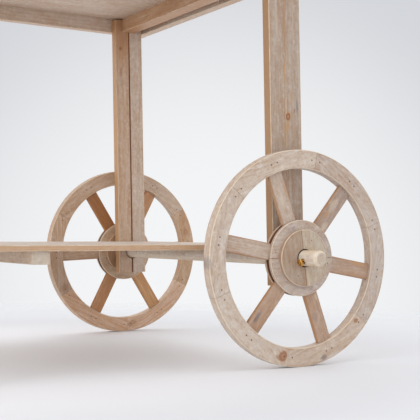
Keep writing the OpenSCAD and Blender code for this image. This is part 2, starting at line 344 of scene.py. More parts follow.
def wood(name, board, finish, edge=None, spots=None):
    """Whitewashed softwood: rings and fibres along the grain, a worn wash, edges and knots."""
    shader = Shader(name)
    coords = shader.node("ShaderNodeTexCoord")
    turn = board.place.to_euler()
    at = shader.node(
        "ShaderNodeMapping",
        {"vector_type": "TEXTURE"},
        {0: coords.outputs["Object"], 1: board.place.translation, 2: turn},
    ).outputs[0]
    facing = shader.node(
        "ShaderNodeMapping", {"vector_type": "TEXTURE"}, {0: coords.outputs["Normal"], 2: turn}
    ).outputs[0]
    x, y, z = shader.parts(at)
    seed = board.seed * 7.31

    # noise from the whole board's bend down to flecks, always longer along the grain
    wander = shader.noise(at, (2.2, 13, 13), (seed, 0, 0), 3.0)
    cloud = shader.noise(at, (9, 30, 30), (0, seed, 3.7), 4.0, 0.6)
    patch = shader.noise(at, (40, 90, 90), (seed, 9.1, 0), 4.0, 0.65)
    fibre = shader.noise(at, (22, 520, 520), (seed, 0, 5.5), 3.0, 0.65)
    streak = shader.noise(at, (5, 120, 120), (0, 2.2, seed), 3.0, 0.6)
    scuff = shader.noise(at, (70, 300, 300), (4.4, seed, 0), 3.0, 0.7)
    blotch = shader.noise(at, (75, 130, 130), (seed, 6.6, 1.1), 3.0, 0.75)
    fleck = shader.noise(at, (260, 520, 520), (1.7, seed, 8.8), 2.0, 0.7)

    # year rings, which bend round the knots
    bend = wander * 0.03
    marks = []
    for flaw in board.flaws:
        dx = (x - flaw.x) / flaw.long
        dy = y - flaw.y
        away = (dx * dx + dy * dy).root() / flaw.size + (patch - 0.5) * 1.1
        marks.append((flaw, away))
        if flaw.kind == "knot":
            bend = bend + away.ease(3.2, 0.6) * flaw.size * 0.7

    ry = y - board.pith[0] + bend
    rz = z - board.pith[1] + bend * 0.5
    rings = (ry * ry + rz * rz).root() / board.ring + x * board.slope + wander * 2.2
    band = rings.fraction()
    late = band.ease(0.15, 0.93) * band.ease(1.0, 0.94) * board.figure

    # worn wash over bare wood, then patches of each kind of wear over both
    cover = board.cover + (cloud - 0.5) * 1.1 + (streak - 0.5) * 0.6 + (fibre - 0.5) * 0.5
    cover = (cover - late * 0.35).ease(0.0, 1.0)
    bare = shader.mix(late * 0.8, finish.bare, finish.late)
    tone = shader.mix((streak - 0.35) * 1.5, finish.wash, finish.wash_pink)
    tone = shader.mix(patch.ease(0.45, 0.75) * board.grey * 1.6, tone, finish.wash_grey)
    base = shader.mix(cover, bare, tone)
    base = shader.mix(cloud.ease(0.45, 0.72) * board.warm, base, finish.warm)
    base = shader.mix(blotch.ease(0.52, 0.66) * 0.55 * board.cover, base, finish.film)
    base = shader.mix(blotch.ease(0.48, 0.34) * 0.42, base, finish.pink_bare)
    base = shader.mix(streak.ease(0.56, 0.72) * 0.35, base, finish.cream)
    base = shader.mix(scuff.ease(0.58, 0.74) * 0.35, base, finish.film)
    base = shader.mix(fibre.ease(0.42, 0.26) * 0.40, base, finish.late)
    base = shader.mix(scuff.ease(0.32, 0.20) * 0.45, base, finish.late)
    base = shader.mix(fleck.ease(0.30, 0.22) * 0.5, base, finish.rust)
    base = shader.mix(fleck.ease(0.68, 0.76) * 0.5, base, finish.film)

    # rim is the distance to the nearest long edge, and broad is 1 on a face and less on an arris
    normal = shader.parts(facing)
    nx, ny, nz = [abs(part) for part in normal]
    if edge is None:
        half_y, half_z = board.half
        rim = (half_y - abs(y)).most(half_z - abs(z))
        broad = nx.most(ny).most(nz)
        side = ny.ease(0.6, 0.85)
        radius, angle = None, None
    else:
        rim, radius, angle = edge(shader)
        axial = abs(shader.parts(coords.outputs["Normal"])[1])
        broad = axial.most((1.0 - axial * axial).most(0.0).root())
        side = axial.ease(0.6, 0.3)
    base = shader.mix(side * board.sides, base, finish.warm)
    # the seam of a disc made of two boards, and the tint of the whole board
    if board.joint is not None:
        line, tint = board.joint
        beyond = (y - line).ease(-0.0002, 0.0002)
        base = shader.mix(beyond, base, shader.mix(1.0, base, TINTS[tint], "MULTIPLY"))
        base = shader.mix(abs(y - line).ease(0.0012, 0.0005) * 0.7, base, finish.edge_brown)
    if board.tint != "bare":
        base = shader.mix(1.0, base, TINTS[board.tint], "MULTIPLY")

    # rounded edges painted cream, as worn wash with a painted highlight, and on the spokes brown, as
    # painted shade; a thin brown line beside them
    arris = broad.ease(0.97, 0.86).most(rim.ease(0.0022, 0.0010) * patch.ease(0.45, 0.6))
    line_beside = rim.ease(0.0012, 0.0024) * rim.ease(0.0052, 0.0028)
    base = shader.mix(line_beside * patch.ease(0.42, 0.62) * 0.45, base, finish.edge_brown)
    worn = finish.cream if board.edge_tone == "cream" else finish.edge_brown
    base = shader.mix(arris * (0.05 + patch * 0.9), base, worn)

    # places that the wash never reached, painted shade in the gaps between the hub's discs, and grease
    if board.groove is not None:
        line, inner = board.groove
        beside = abs(y - line)
        inner_side = (z * inner).ease(0.004, 0.008)
        base = shader.mix(beside.ease(0.0027, 0.0012) * inner_side, base, finish.groove)
        faint = beside.ease(0.0040, 0.0010) * streak.ease(0.3, 0.6) * 0.6
        base = shader.mix(faint * (1 - inner_side), base, finish.edge_brown)

    # painted shade on the face of a hub disc that looks into the dark gap between the discs
    if board.hidden:
        gap_shade = (normal[2] * board.hidden).ease(0.5, 0.9)
        base = shader.mix(gap_shade * 0.85, base, finish.groove)
    # painted shade on the part of a spoke that sits in the dark gap between the hub's discs
    if board.shade_below is not None:
        base = shader.mix(x.ease(board.shade_below + 0.001, board.shade_below - 0.001) * 0.85, base,
                          finish.groove)

    if board.bore is not None:
        base = shader.mix(radius.ease(board.bore + 0.0009, board.bore + 0.0003), base,
                          finish.grease)
    if board.greased is not None:
        near, far = board.greased
        in_hub = abs(x).ease(near - 0.001, near) * abs(x).ease(far + 0.0003, far - 0.0003)
        base = shader.mix(in_hub * 0.95, base, finish.grease)

    end = nx.ease(0.8, 0.95)
    base = shader.mix(end * 0.5, base, finish.end_grain)

    for flaw, away in marks:
        if flaw.kind == "knot":
            base = shader.mix(away.ease(1.9, 0.9) * 0.5 * flaw.strength, base, finish.warm)
            base = shader.mix(away.ease(1.15, 0.85) * 0.7 * flaw.strength, base, finish.knot)
            base = shader.mix(away.ease(0.65, 0.2) * 0.5 * flaw.strength, base, finish.warm)
        else:
            over = {"grey": finish.stain, "warm": finish.warm, "pale": finish.cream,
                    "dark": finish.knot}[flaw.kind]
            base = shader.mix(away.ease(1.3, 0.4) * 0.65 * flaw.strength, base, over)

    if spots is not None:
        for away in spots(shader, radius, angle):
            base = shader.mix(away.ease(0.0026, 0.0013) * 0.6, base, finish.rust)

    roughness = 0.60 + (fibre - 0.5) * 0.25 + late * 0.08
    height = fibre * 0.7 + late * 0.5 + streak * 0.3 + scuff * 0.3
    return shader.finish(base, roughness, height, 0.0004)


def metal(name, base, dark, roughness):
    """Plated or bright metal with handling marks."""
    shader = Shader(name)
    spot = shader.node("ShaderNodeTexCoord").outputs["Object"]
    blotch = shader.noise(spot, (240, 240, 240), (0, 0, 0), 3.0, 0.6)
    scratch = shader.noise(spot, (900, 90, 900), (3, 1, 2), 2.0)
    tint = shader.mix(blotch.ease(0.42, 0.7), base, dark)
    return shader.finish(tint, roughness + (scratch - 0.5) * 0.25, scratch, 0.0001, 1.0)


# ---- settings


class CartWood(bpy.types.PropertyGroup):
    """Colours of the wood and its wash."""

    wash: colour("Wash", "Thin white wash over the boards", 203, 191, 178)
    wash_pink: colour("Pink wash", "Wash where the wood's pink shows through", 190, 166, 150)
    wash_grey: colour("Grey wash", "Wash where the wood has greyed", 178, 169, 167)
    film: colour("Wash film", "Thicker film of wash left in patches", 218, 212, 206)
    bare: colour("Bare wood", "Wood where the wash has worn off", 186, 147, 112)
    pink_bare: colour("Thin wash", "Patches where the wash is thin", 168, 134, 112)
    late: colour("Late wood", "Dark line of each year ring", 134, 100, 70)
    warm: colour("Warm wood", "Orange-brown patches", 184, 140, 96)
    # cream also paints the highlight on rounded edges, and edge_brown the shade on the spokes' rounded
    # edges
    cream: colour("Edges", "Sanded edges and light streaks", 224, 210, 186)
    edge_brown: colour("Edge line", "Thin brown line beside a sanded edge", 166, 118, 76)
    end_grain: colour("End grain", "Sawn ends of the boards", 170, 154, 134)
    # the groove colour is also painted as shade in the gaps between the hub's discs
    groove: colour("Groove", "Unwashed wood in the groove between two boards", 120, 68, 42)
    grease: colour("Grease", "Old grease round the axle", 46, 38, 30)
    knot: colour("Knot", "Heart of a knot", 138, 82, 52)
    stain: colour("Grey stain", "Blue-grey stain", 112, 106, 108)
    rust: colour("Brad hole", "Dark ring round a brad", 92, 76, 64)


class CartMetal(bpy.types.PropertyGroup):
    """Colours and sizes of the screws and brads."""

    zinc: colour("Zinc", "Yellow zinc plating", 224, 176, 96)
    zinc_dark: colour("Zinc shade", "Plating in the hollows", 150, 98, 40)
    steel: colour("Steel", "Brad heads", 96, 88, 80)
    steel_dark: colour("Dark steel", "Tarnish on the brad heads", 48, 42, 38)
    retainer_tilt: bpy.props.FloatProperty(
        name="Retaining screw tilt", description="Degrees the retaining screws point down",
        default=22.0, min=0.0, max=60.0,
    )
    brad_depth: bpy.props.FloatProperty(
        name="Brad depth", description="How far the brads are set below the wood",
        default=0.0006, min=0.0, max=0.002, unit="LENGTH",
    )
    pitch: bpy.props.FloatProperty(
        name="Thread pitch", description="Distance between turns of the retaining screw's thread",
        default=0.0034, min=0.002, max=0.006, unit="LENGTH",
    )


class CartStage(bpy.types.PropertyGroup):
    """Floor, light and camera."""

    # the floor's two colours paint light near the cart and shade away from it
    floor: colour("Floor", "Pale studio floor under the cart", 242, 243, 247)
    floor_edge: colour("Floor away", "Studio floor away from the cart", 214, 215, 219)
    # the backdrop's bright middle and darker edge are a painted pool of light
    backdrop: colour("Backdrop", "Bright middle of the backdrop", 244, 245, 246)
    backdrop_edge: colour("Backdrop edge", "Backdrop away from its bright middle", 212, 214, 219)
    overhead: power("Overhead light", "Power of the light above the cart", 9.0)
    front: power("Front light", "Power of the light in front of the cart", 48.0)
    near: power("Near light", "Power of the light on the camera's side", 18.0)
    room: bpy.props.FloatProperty(
        name="Room light", description="Strength of the light from the camera's half of the room",
        default=0.70, min=0.0,
    )
    room_behind: bpy.props.FloatProperty(
        name="Room light behind", description="Strength of the light from behind the cart",
        default=1.75, min=0.0,
    )
    camera_place: bpy.props.FloatVectorProperty(
        name="Camera", description="Where the camera stands", subtype="TRANSLATION", size=3,
        default=(0.7296, 2.0246, 0.2760), unit="LENGTH",
    )
    camera_azimuth: angle("Camera heading", "Direction of view round the vertical", 148.742)
    camera_tilt: angle("Camera tilt", "Upward tilt of the view", 1.385)
    camera_roll: angle("Camera roll", "Roll of the camera", 0.179)
    lens: bpy.props.FloatProperty(
        name="Focal length", description="Focal length in millimetres on a 36 mm sensor",
        default=82.03, min=10.0,
    )


# ---- wheels


def wheel_centre(side):
    """Centre of a wheel, from its joint."""
    joint = next(j for j in frame["joints"] if j["child"] == side + "_wheel")
    return Vector(joint["pos_m"])


def middle(node):
    """Mean of a CAD node's vertices."""
    total = Vector((0, 0, 0))
    for vertex in NODES[node].data.vertices:
        total += vertex.co
    return total / len(NODES[node].data.vertices)


def radial_of(node, centre):
    """Unit direction from the wheel's axis to the middle of a node."""
    way = middle(node) - centre
    way.y = 0
    return way.normalized()


def reach_of(node, centre):
    """Shortest and longest distance of a CAD node's vertices from the wheel's axis."""
    away = [((v.co - centre) * Vector((1, 0, 1))).length for v in NODES[node].data.vertices]
    return min(away), max(away)


def paint(node, material):
    """Gives a CAD node its material."""
    slots = NODES[node].data.materials
    slots.clear()
    slots.append(material)


# cover, warm, grey and tint of each rim segment and spoke, counted round the wheel
RIM_TONES = {
    "left": ((0.80, 0.12, 0.45, "bare"), (0.90, 0.22, 0.10, "bare"), (0.70, 0.35, 0.25, "bare"),
             (0.78, 0.10, 0.55, "ash"), (0.72, 0.10, 0.60, "ash"), (0.80, 0.15, 0.15, "bare")),
    "right": ((0.45, 0.35, 0.40, "bare"), (0.50, 0.25, 0.30, "bare"), (0.60, 0.25, 0.25, "bare"),
              (0.50, 0.35, 0.15, "honey"), (0.50, 0.50, 0.10, "rose"), (0.42, 0.55, 0.20, "rose")),
}
SPOKE_TONES = {
    "left": ((0.60, 0.25, 0.40, "ash"), (0.42, 0.45, 0.30, "mauve"), (0.42, 0.40, 0.45, "mauve"),
             (0.40, 0.25, 0.60, "mauve"), (0.55, 0.10, 0.80, "slate"), (0.66, 0.25, 0.30, "ash")),
    "right": ((0.40, 0.50, 0.20, "bare"), (0.20, 0.80, 0.10, "umber"),
              (0.35, 0.60, 0.10, "russet"), (0.50, 0.40, 0.20, "bare"),
              (0.10, 0.60, 0.00, "amber"), (0.20, 0.80, 0.10, "russet")),
}
RIM_FLAWS = {
    "left_1": (Flaw(0.05, 0.018, 0.008, 2.0, "grey", 0.7),),
    "left_2": (Flaw(0.091, -0.022, 0.011, 0.9), Flaw(0.082, -0.012, 0.005, 1.5, "dark", 0.6)),
    "left_3": (Flaw(-0.018, 0.010, 0.006, 1.5, "grey", 1.0), Flaw(0.088, -0.029, 0.0042, 1.2)),
    "right_4": (Flaw(0.045, -0.006, 0.007, 1.3, "knot", 0.5),),
    "right_1": (Flaw(0.090, -0.022, 0.010, 1.6, "dark", 0.6),),
    "right_5": (Flaw(-0.090, -0.022, 0.008, 1.6, "knot", 0.5),),
}
SPOKE_FLAWS = {
    "left_2": (
        Flaw(0.040, -0.006, 0.0045, 4.0, "grey", 1.2), Flaw(0.046, -0.008, 0.002, 3.0, "dark"),
    ),
    "left_4": (Flaw(0.035, 0.012, 0.004, 5.0, "warm", 1.3),),
    "left_5": (
        Flaw(-0.005, 0.006, 0.006, 1.6, "warm", 0.8), Flaw(-0.03, -0.008, 0.009, 1.5, "pale", 0.5),
        Flaw(0.02, 0.004, 0.010, 2.0, "pale", 0.5),
    ),
    "left_3": (Flaw(-0.03, 0.010, 0.003, 3.0, "pale", 0.6), Flaw(0.01, -0.006, 0.006, 2.0, "grey", 0.5)),
    "left_6": (Flaw(0.01, 0.002, 0.005, 5.0, "pale", 0.4), Flaw(0.03, -0.012, 0.003, 6.0, "warm")),
}


# degrees from the middle of a rim segment to its brads, both ways
BRAD_ANGLES = (2.2, 27.1)
# distance from the wheel's axis to where a spoke's own frame sits, and half its width and thickness
SPOKE_MIDDLE = 0.12
SPOKE_HALF = (0.0175, 0.0045)
# the part of a spoke below this, in its own frame, sits between the hub's discs and is painted with
# shade
SPOKE_SHADE_BELOW = -0.0415


def ring_brads(middle_angle, offsets, radius_of_brads):
    """Distances to brads set at angles either side of a segment's middle, both ways."""
    def spots(shader, radius, angle):
        swing = abs((angle - middle_angle).wrap(-math.pi, math.pi))
        found = []
        for offset in offsets:
            across = (swing - offset) * radius_of_brads
            radial = radius - radius_of_brads
            found.append((across * across + radial * radial).root())
        return found
    return spots


class CART_OT_wheels(bpy.types.Operator):
    """Finishes the rims and spokes of both wheels"""

    bl_idname = "cart.wheels"
    bl_label = "Rims and Spokes"

    def execute(self, context):
        finish = context.scene.cart_wood
        for side in WHEELS:
            centre = wheel_centre(side)
            low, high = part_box(side + "_felloe_1")
            half = (high.y - low.y) / 2
            inner, outer = reach_of(side + "_felloe_1", centre)
            for i in range(1, 7):
                self.felloe(finish, side, i, centre, inner, outer, half)
                self.spoke(finish, side, i, centre)
        return {"FINISHED"}

    def felloe(self, finish, side, i, centre, inner, outer, half):
        name = side + "_felloe_" + str(i)
        out = radial_of(name, centre)
        along = Vector(Y_WAY).cross(out)
        cover, warm, grey, tint = RIM_TONES[side][i - 1]
        reach = (inner + outer) / 2
        board = Board(
            board_frame(centre + out * reach, along, out),
            cover=cover, warm=warm, grey=grey, tint=tint, seed=i + 10 * WHEELS.index(side),
            pith=(0.03 - 0.012 * i, -0.045 - 0.006 * i), slope=0.8, sides=0.0,
            flaws=RIM_FLAWS.get(side + "_" + str(i), ()),
        )
        turn = math.atan2(out.z, out.x)
        spots = ring_brads(turn, [math.radians(degrees) for degrees in BRAD_ANGLES], reach)
        paint(name, wood(
            name, board, finish,
            lambda shader: round_edge(shader, centre, inner, outer, half), spots,
        ))

    def spoke(self, finish, side, i, centre):
        name = side + "_spoke_" + str(i)
        out = radial_of(name, centre)
        across = Vector(Y_WAY).cross(out)
        cover, warm, grey, tint = SPOKE_TONES[side][i - 1]
        # the spoke's part between the hub's discs gets painted shade
        board = Board(
            board_frame(centre + out * SPOKE_MIDDLE, out, across), SPOKE_HALF,
            cover=cover, warm=warm, grey=grey, tint=tint, seed=20 + i + 10 * WHEELS.index(side),
            # brown rounded edges here are painted shade
            figure=0.25, sides=0.7, edge_tone="brown", shade_below=SPOKE_SHADE_BELOW,
            pith=(0.004 * (i - 3), -0.03 - 0.004 * i), ring=0.0038, slope=1.5,
            flaws=SPOKE_FLAWS.get(side + "_" + str(i), ()),
        )
        paint(name, wood(name, board, finish))


class CART_OT_hubs(bpy.types.Operator):
    """Finishes the large discs and the small caps of both hubs"""

    bl_idname = "cart.hubs"
    bl_label = "Hub Discs and Caps"

    def execute(self, context):
        finish = context.scene.cart_wood
        looks = {
            "hub_outer": dict(cover=0.72, warm=0.05, grey=0.7, tint="ash", joint=(0.0, "bare")),
            "hub_inner": dict(cover=0.72, warm=0.15, tint="honey", joint=(0.0, "bare")),
            "cap_outer": dict(cover=0.55, warm=0.10, grey=0.2, tint="dun",
                              joint=(-0.002, "chalk")),
            "cap_inner": dict(cover=0.40, warm=0.5, tint="tan", joint=(-0.002, "bare")),
        }
        seam_angles = {"hub": 10, "cap": 107}
        for side in WHEELS:
            centre = wheel_centre(side)
            for number, (part, look) in enumerate(looks.items()):
                name = side + "_" + part
                low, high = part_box(name)
                hub = Vector((centre.x, (low.y + high.y) / 2, centre.z))
                tilt = seam_angles[part[:3]]
                outward = 1 if hub.y > 0 else -1
                facing_out = outward if "outer" in part else -outward
                board = Board(
                    board_frame(hub, self.way(side, tilt), self.way(side, tilt + 90)),
                    seed=41 + number + 10 * WHEELS.index(side), slope=0.9, pith=(0.012, -0.045),
                    ring=0.006, sides=0.0, figure=0.22, **look,
                )
                # the face of each large disc that looks into the gap between the discs gets painted
                # shade
                z_way = board.place.to_3x3().col[2].y
                board.hidden = -round(facing_out * z_way) if "hub" in part else 0
                board.bore = reach_of(name, hub)[0]
                self.finish_disc(name, board, finish, hub, low, high)
        return {"FINISHED"}

    def finish_disc(self, name, board, finish, hub, low, high):
        paint(name, wood(
            name, board, finish,
            lambda shader: round_edge(
                shader, hub, 0, (high.z - low.z) / 2, (high.y - low.y) / 2
            ),
        ))

    def way(self, side, degrees):
        """Direction at an angle round the wheel from its first spoke, in its spokes' order."""
        out = radial_of(side + "_spoke_1", wheel_centre(side))
        turn = math.radians(degrees) * (-1 if side == "left" else 1)
        return Matrix.Rotation(-turn, 3, "Y") @ out


# ---- frame


def plank(node, grain, across, **look):
    """Board for a straight plank, from its box, its grain axis and its face's width axis."""
    low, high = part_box(node)
    size = high - low
    place = board_frame((low + high) / 2, grain, across)
    through = place.to_3x3().col[2]
    half = (
        abs(size.dot(Vector([abs(c) for c in across]))) / 2,
        abs(size.dot(Vector([abs(c) for c in through]))) / 2,
    )
    return Board(place, half, **look)


def dress(node, finish, grain, across, **look):
    """Finishes a straight plank."""
    paint(node, wood(node, plank(node, grain, across, **look), finish))


# half the width of a rear post's board and of a leg, and half the thickness of both
POST_HALF_WIDTH, LEG_HALF_WIDTH, UPRIGHT_HALF = 0.02, 0.04, 0.012
# degrees that the uprights lean forward
LEAN = 1.4


class CART_OT_frame(bpy.types.Operator):
    """Finishes the uprights, the rails, the end boards and the bearers"""

    bl_idname = "cart.frame"
    bl_label = "Frame"

    def execute(self, context):
        finish = context.scene.cart_wood
        lean = math.radians(LEAN)
        up = Vector((math.sin(lean), 0, math.cos(lean)))
        forward = Vector((math.cos(lean), 0, -math.sin(lean)))
        looks = {
            "left_post_front": dict(
                cover=0.58, warm=0.40, grey=0.4, seed=61, pith=(0.0, -0.05), sides=0.85,
                tint="pewter", groove=(-0.02, -1),
                flaws=(Flaw(-0.02, -0.0185, 0.003, 8.0, "warm", 1.2),
                       Flaw(0.10, -0.018, 0.003, 9.0, "warm", 0.8)),
            ),
            "left_post_rear": dict(
                cover=0.60, warm=0.25, grey=0.6, seed=62, pith=(0.01, 0.05), sides=0.6,
                tint="pewter", groove=(0.02, -1),
                flaws=(Flaw(0.008, 0.0150, 0.0062, 1.3, "knot", 1.2),
                       Flaw(-0.014, 0.0165, 0.0040, 2.4, "warm", 1.3),
                       Flaw(0.02, -0.002, 0.002, 2.0, "dark", 0.8),
                       Flaw(0.05, 0.006, 0.003, 7.0, "warm", 0.9),
                       Flaw(0.03, -0.009, 0.003, 6.0, "grey", 1.0)),
            ),
            "right_post_front": dict(
                cover=0.45, warm=0.40, grey=0.3, seed=63, pith=(-0.02, -0.05), sides=0.9,
                groove=(-0.02, 1),
                # the two large marks near the top, warm and dark, are painted shade under the deck
                flaws=(Flaw(0.31, 0.0, 0.035, 2.6, "warm", 0.9),
                       Flaw(0.34, 0.0, 0.035, 2.8, "dark", 0.45),
                       Flaw(0.27, 0.006, 0.005, 1.2, "dark", 1.1),
                       Flaw(0.205, 0.006, 0.004, 3.0, "dark", 0.7),
                       Flaw(0.05, 0.010, 0.003, 8.0, "warm", 0.8)),
            ),
            "right_post_rear": dict(
                cover=0.68, warm=0.15, grey=0.4, seed=64, pith=(0.02, -0.06), sides=0.5,
                groove=(0.02, 1),
            ),
            "left_leg": dict(cover=0.75, warm=0.2, seed=65, sides=0.0, flaws=(Flaw(0.1, 0.01, 0.007),)),
            "right_leg": dict(cover=0.60, warm=0.35, seed=66, flaws=(Flaw(-0.2, -0.01, 0.008),)),
        }
        for name, look in looks.items():
            low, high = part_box(name)
            half_width = POST_HALF_WIDTH if "post" in name else LEG_HALF_WIDTH
            board = Board(
                board_frame((low + high) / 2, up, forward), (half_width, UPRIGHT_HALF),
                slope=0.7, ring=0.0055, figure=0.25, **look,
            )
            paint(name, wood(name, board, finish))
        for i, name in enumerate(("left_rail", "right_rail")):
            dress(
                name, finish, X_WAY, Z_WAY, cover=0.74, warm=0.25, seed=71 + i, slope=0.5,
                flaws=(Flaw(0.2 - 0.5 * i, 0.01, 0.009), Flaw(-0.35 + 0.3 * i, -0.012, 0.007)),
            )
        for i, name in enumerate(("rear_board", "front_board")):
            dress(
                name, finish, Y_WAY, Z_WAY, cover=0.74, warm=0.2, seed=75 + i, slope=0.6,
                flaws=(Flaw(0.1 - 0.3 * i, 0.01, 0.009),),
            )
        for i, name in enumerate(("rear_bearer", "front_bearer")):
            dress(name, finish, Y_WAY, Z_WAY, cover=0.35, warm=0.5, tint="tan", seed=78 + i)
        return {"FINISHED"}


class CART_OT_boards(bpy.types.Operator):
    """Finishes the shelf boards with their battens, and the deck boards"""

    bl_idname = "cart.boards"
    bl_label = "Shelf and Deck"

    def execute(self, context):
        finish = context.scene.cart_wood
        for i, name in enumerate(SHELF_BOARDS):
            dress(
                name, finish, X_WAY, Y_WAY, cover=0.92, warm=0.15, seed=81 + i, slope=0.5,
                pith=(0.02 * (i - 2), -0.05), sides=0.7,
                flaws=(Flaw(0.3 - 0.17 * i, 0.02 * (i - 2), 0.008),),
            )
        for i, name in enumerate(("shelf_batten_mid", "shelf_batten_front")):
            dress(
                name, finish, Y_WAY, X_WAY, cover=0.8, warm=0.1, tint="pale", seed=91 + i,
                pith=(0.0, -0.012),
            )
        dress(
            "deck_boards", finish, X_WAY, Y_WAY, cover=0.7, warm=0.3, seed=94, slope=0.4,
        )
        return {"FINISHED"}


class CART_OT_bars(bpy.types.Operator):
    """Finishes the axle and the pull bar"""

    bl_idname = "cart.bars"
    bl_label = "Axle and Pull Bar"

    def execute(self, context):
        finish = context.scene.cart_wood
        dress(
            "axle", finish, Y_WAY, Z_WAY, cover=0.75, warm=0.10, grey=0.2, tint="pale", seed=101,
            pith=(0.004, -0.003), ring=0.0032, greased=self.hub_reach(),
        )
        dress(
            "pull_bar", finish, Y_WAY, Z_WAY, cover=0.62, warm=0.35, seed=102,
            pith=(-0.02, -0.02), ring=0.0032,
        )
        return {"FINISHED"}

    def hub_reach(self):
        """Where the hubs sit on the axle, from the cart's middle."""
        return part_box("left_cap_inner")[0].y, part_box("left_cap_outer")[1].y


# ---- metal


# part of a packed nail or screw's radius that the new one takes, so that it stays in its hole
SLIM = 0.98
# where a nail's head ends and where its shank begins, below the head's top
NAIL_HEAD, NAIL_NECK = 0.0012, 0.0018
# a frame screw's head: its straight rim, the cone below it, both together, and its recess
SCREW_RIM, SCREW_CONE, SCREW_HEAD, SCREW_RECESS = 0.0004, 0.0026, 0.003, 0.0022
# the recess' cross: its reach and half the width of its arms, as parts of the head's radius
CROSS_REACH, CROSS_HALF = 0.62, 0.17
# a retaining screw: its plate head's thickness, its core's radius, its point's length
PLATE, CORE, POINT = 0.0016, 0.0031, 0.008
# its thread: radius at the foot and at the ridge, plain neck under the head, steps in a turn
RIDGE_FOOT, RIDGE_TOP, NECK, TURN_STEPS = 0.0029, 0.0040, 0.0052, 20
SHORTEST_RETAINER = 0.045


def islands(node):
    """Lowest and highest corner of each separate solid in a CAD node, found on a merged copy."""
    copy = bmesh.new()
    copy.from_mesh(NODES[node].data)
    bmesh.ops.remove_doubles(copy, verts=copy.verts, dist=1e-6)
    seen = set()
    found = []
    for start in copy.verts:
        if start in seen:
            continue
        seen.add(start)
        group = [start]
        for vertex in group:
            for edge in vertex.link_edges:
                other = edge.other_vert(vertex)
                if other not in seen:
                    seen.add(other)
                    group.append(other)
        spots = [v.co for v in group]
        low = Vector([min(c[i] for c in spots) for i in range(3)])
        high = Vector([max(c[i] for c in spots) for i in range(3)])
        found.append((low, high))
    copy.free()
    return found


def driven(corners, home):
    """Where a straight nail or screw has its head, which way it points out, and its length.

    home is a point on the inner side of the face it was driven into.
    """
    low, high = corners
    size = high - low
    axis = max(range(3), key=lambda i: size[i])
    middle_point = (low + high) / 2
    out = Vector((0, 0, 0))
    out[axis] = 1 if middle_point[axis] > home[axis] else -1
    return middle_point + out * size[axis] / 2, out, size[axis]


def add_object(name, data):
    """Puts a new object into the scene."""
    made = bpy.data.objects.new(name, data)
    bpy.context.scene.collection.objects.link(made)
    return made


def mesh_object(name, shape, material):
    """Makes an object of a bmesh, which is freed."""
    mesh = bpy.data.meshes.new(name)
    shape.to_mesh(mesh)
    shape.free()
    mesh.materials.append(material)
    return add_object(name, mesh)


def piece(name, shape, body, material):
    """Makes an object of a bmesh, on a CAD body, with its normals facing out."""
    bmesh.ops.recalc_face_normals(shape, faces=shape.faces)
    made = mesh_object(name, shape, material)
    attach(made, body)
    return made


def stand(vertices, shape, head, out):
    """Turns vertices modelled along Z so that Z points out, and moves them to the head's place."""
    turn = out.to_track_quat("Z", "Y").to_matrix().to_4x4()
    bmesh.ops.transform(shape, matrix=Matrix.Translation(head) @ turn, verts=vertices)


def ends(edges):
    """The vertices of some edges, each once."""
    return list({vertex for edge in edges for vertex in edge.verts})


def loop_edges(vertices):
    """The edges of a loop given by its vertices."""
    return list({edge for vertex in vertices for edge in vertex.link_edges})


def ring_up(shape, edges, rise, scale):
    """Extrudes a loop of edges along Z and scales the new loop; gives back its edges."""
    grown = bmesh.ops.extrude_edge_only(shape, edges=edges)["geom"]
    tips = [item for item in grown if isinstance(item, bmesh.types.BMVert)]
    bmesh.ops.scale(shape, vec=(scale, scale, 1), verts=tips)
    bmesh.ops.translate(shape, vec=(0, 0, rise), verts=tips)
    return [item for item in grown if isinstance(item, bmesh.types.BMEdge)
            and all(v in tips for v in item.verts)]


def turned_shape(shape, steps, segments):
    """A closed round shape along Z: steps of radius and height, from the top's middle down."""
    radius, height = steps[0]
    loop = bmesh.ops.create_circle(shape, cap_ends=True, segments=segments, radius=radius)["verts"]
    bmesh.ops.translate(shape, vec=(0, 0, height), verts=loop)
    made = list(loop)
    edges = loop_edges(loop)
    for next_radius, next_height in steps[1:]:
        edges = ring_up(shape, edges, next_height - height, next_radius / radius)
        made += ends(edges)
        radius, height = next_radius, next_height
    bmesh.ops.contextual_create(shape, geom=edges)
    return list(dict.fromkeys(made))


class CART_OT_brads(bpy.types.Operator):
    """Replaces the brads and board nails by ones set a little below the wood"""

    bl_idname = "cart.brads"
    bl_label = "Brads and Nails"

    def execute(self, context):
        look = context.scene.cart_metal
        steel = metal("brad_steel", look.steel, look.steel_dark, 0.5)
        for side in WHEELS:
            self.set_nails(side + "_wheel_nails", side + "_brads", side + "_wheel", look, steel,
                           wheel_centre(side))
        below = Vector((0, 0, -10))
        self.set_nails("board_nails", "deck_and_shelf_nails", "frame", look, steel, below)
        return {"FINISHED"}

    def set_nails(self, node, name, body, look, steel, home):
        shape = bmesh.new()
        for corners in islands(node):
            head, out, length = driven(corners, home)
            size = corners[1] - corners[0]
            radius = min(size) / 2 * SLIM
            sunk = look.brad_depth
            nail = turned_shape(shape, (
                (radius * 0.45, -sunk - radius * 0.25), (radius * 0.9, -sunk),
                (radius, -sunk - radius * 0.3), (radius, -sunk - NAIL_HEAD),
                (radius * 0.8, -sunk - NAIL_NECK), (radius * 0.8, -length * 0.93),
                (radius * 0.1, -length),
            ), 12)
            stand(nail, shape, head, out)
        made = piece(name, shape, body, steel)
        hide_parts(node)


